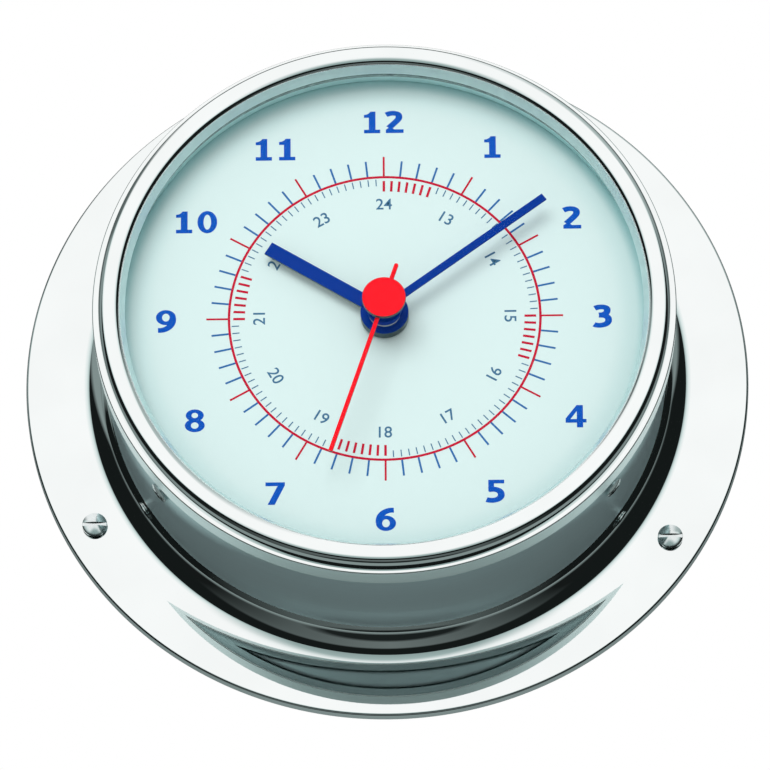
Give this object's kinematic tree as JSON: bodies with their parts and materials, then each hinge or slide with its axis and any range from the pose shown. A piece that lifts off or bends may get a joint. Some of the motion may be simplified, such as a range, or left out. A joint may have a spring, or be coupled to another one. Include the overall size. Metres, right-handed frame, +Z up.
{
  "type": "marine clock",
  "caption": "Round bulkhead clock of polished steel with a wide screw-down flange, bead bezel, domed glass, white dial and a quartz movement with its gear train.",
  "frame": {"origin": "centre of the flange's back, on the wall that the clock is screwed to", "axes": "+Z is up, towards 12 o'clock; the dial faces -Y; +X is to the right as the dial is read; the wall is the plane Y = 0"},
  "size_m": [0.12, 0.051, 0.12],
  "materials": {
    "polished_steel": "mirror-polished stainless steel",
    "screw_steel": "turned steel screw heads",
    "clear_glass": "clear domed mineral glass",
    "black_rubber": "matt black seal rubber",
    "dial_white": "satin white enamel with printed minute and hour rings and plain numerals",
    "carrier_plastic": "moulded grey plastic",
    "navy_lacquer": "gloss navy lacquer",
    "red_lacquer": "gloss red lacquer",
    "wheel_plastic": "natural white acetal",
    "brass": "stamped and turned brass",
    "nickel": "nickel-plated steel",
    "copper_wire": "enamelled copper wire",
    "movement_plastic": "moulded black plastic",
    "cell_jacket": "plain printed film over the cell's steel can",
    "board": "brown phenolic circuit board"
  },
  "bodies": {
    "case": {"case_body": "polished_steel", "bezel_ring": "polished_steel", "glass_lens": "clear_glass", "glass_seal": "black_rubber", "dial_spacer_ring": "polished_steel", "dial_plate": "dial_white", "dial_carrier": "carrier_plastic", "flange_screw_1": "screw_steel", "flange_screw_2": "screw_steel", "flange_screw_3": "screw_steel", "side_screw_1": "screw_steel", "side_screw_2": "screw_steel", "side_screw_3": "screw_steel", "movement_housing": "movement_plastic", "movement_cover": "movement_plastic", "train_plate": "brass", "movement_nut": "brass", "movement_washer": "brass", "battery_cell": "cell_jacket", "battery_contact_positive": "nickel", "battery_contact_negative": "nickel", "stator": "nickel", "coil_bobbin": "wheel_plastic", "coil_winding": "copper_wire", "circuit_board": "board", "crystal_can": "nickel"},
    "second_hand_body": {"second_hand": "red_lacquer", "second_hand_cap": "red_lacquer", "seconds_wheel": "wheel_plastic"},
    "minute_hand_body": {"minute_hand": "navy_lacquer", "cannon_pinion": "brass"},
    "hour_hand_body": {"hour_hand": "navy_lacquer", "hour_wheel": "wheel_plastic"},
    "motion_body": {"motion_wheel": "wheel_plastic", "setting_knob": "wheel_plastic"},
    "third_body": {"third_wheel": "wheel_plastic"},
    "centre_body": {"centre_wheel": "brass"},
    "intermediate_body": {"intermediate_wheel": "wheel_plastic"},
    "rotor_body": {"rotor": "nickel"}
  },
  "joints": [
    {"name": "second_hand_turn", "type": "hinge", "parent": "case", "child": "second_hand_body", "pos_m": [0, -0.0265, 0], "axis": [0, 1, 0], "continuous": true},
    {"name": "minute_hand_turn", "type": "hinge", "parent": "case", "child": "minute_hand_body", "pos_m": [0, -0.0265, 0], "axis": [0, 1, 0], "continuous": true},
    {"name": "hour_hand_turn", "type": "hinge", "parent": "case", "child": "hour_hand_body", "pos_m": [0, -0.0265, 0], "axis": [0, 1, 0], "continuous": true},
    {"name": "motion_wheel_turn", "type": "hinge", "parent": "case", "child": "motion_body", "pos_m": [0.012, -0.017, 0], "axis": [0, 1, 0], "continuous": true},
    {"name": "third_wheel_turn", "type": "hinge", "parent": "case", "child": "third_body", "pos_m": [-0.00994, -0.011, 0.00574], "axis": [0, 1, 0], "continuous": true},
    {"name": "centre_wheel_turn", "type": "hinge", "parent": "case", "child": "centre_body", "pos_m": [0, -0.0151, 0], "axis": [0, 1, 0], "continuous": true},
    {"name": "intermediate_wheel_turn", "type": "hinge", "parent": "case", "child": "intermediate_body", "pos_m": [0.00405, -0.0074, 0.00701], "axis": [0, 1, 0], "continuous": true},
    {"name": "rotor_turn", "type": "hinge", "parent": "case", "child": "rotor_body", "pos_m": [0.00783, -0.0093, 0.01356], "axis": [0, 1, 0], "continuous": true}
  ],
  "couplings": [
    {"joint": "third_wheel_turn", "follows": "second_hand_turn", "ratio": -0.13333},
    {"joint": "centre_wheel_turn", "follows": "second_hand_turn", "ratio": 0.016667},
    {"joint": "intermediate_wheel_turn", "follows": "second_hand_turn", "ratio": -5},
    {"joint": "rotor_turn", "follows": "second_hand_turn", "ratio": 30},
    {"joint": "motion_wheel_turn", "follows": "minute_hand_turn", "ratio": -0.33333},
    {"joint": "hour_hand_turn", "follows": "minute_hand_turn", "ratio": 0.083333}
  ]
}
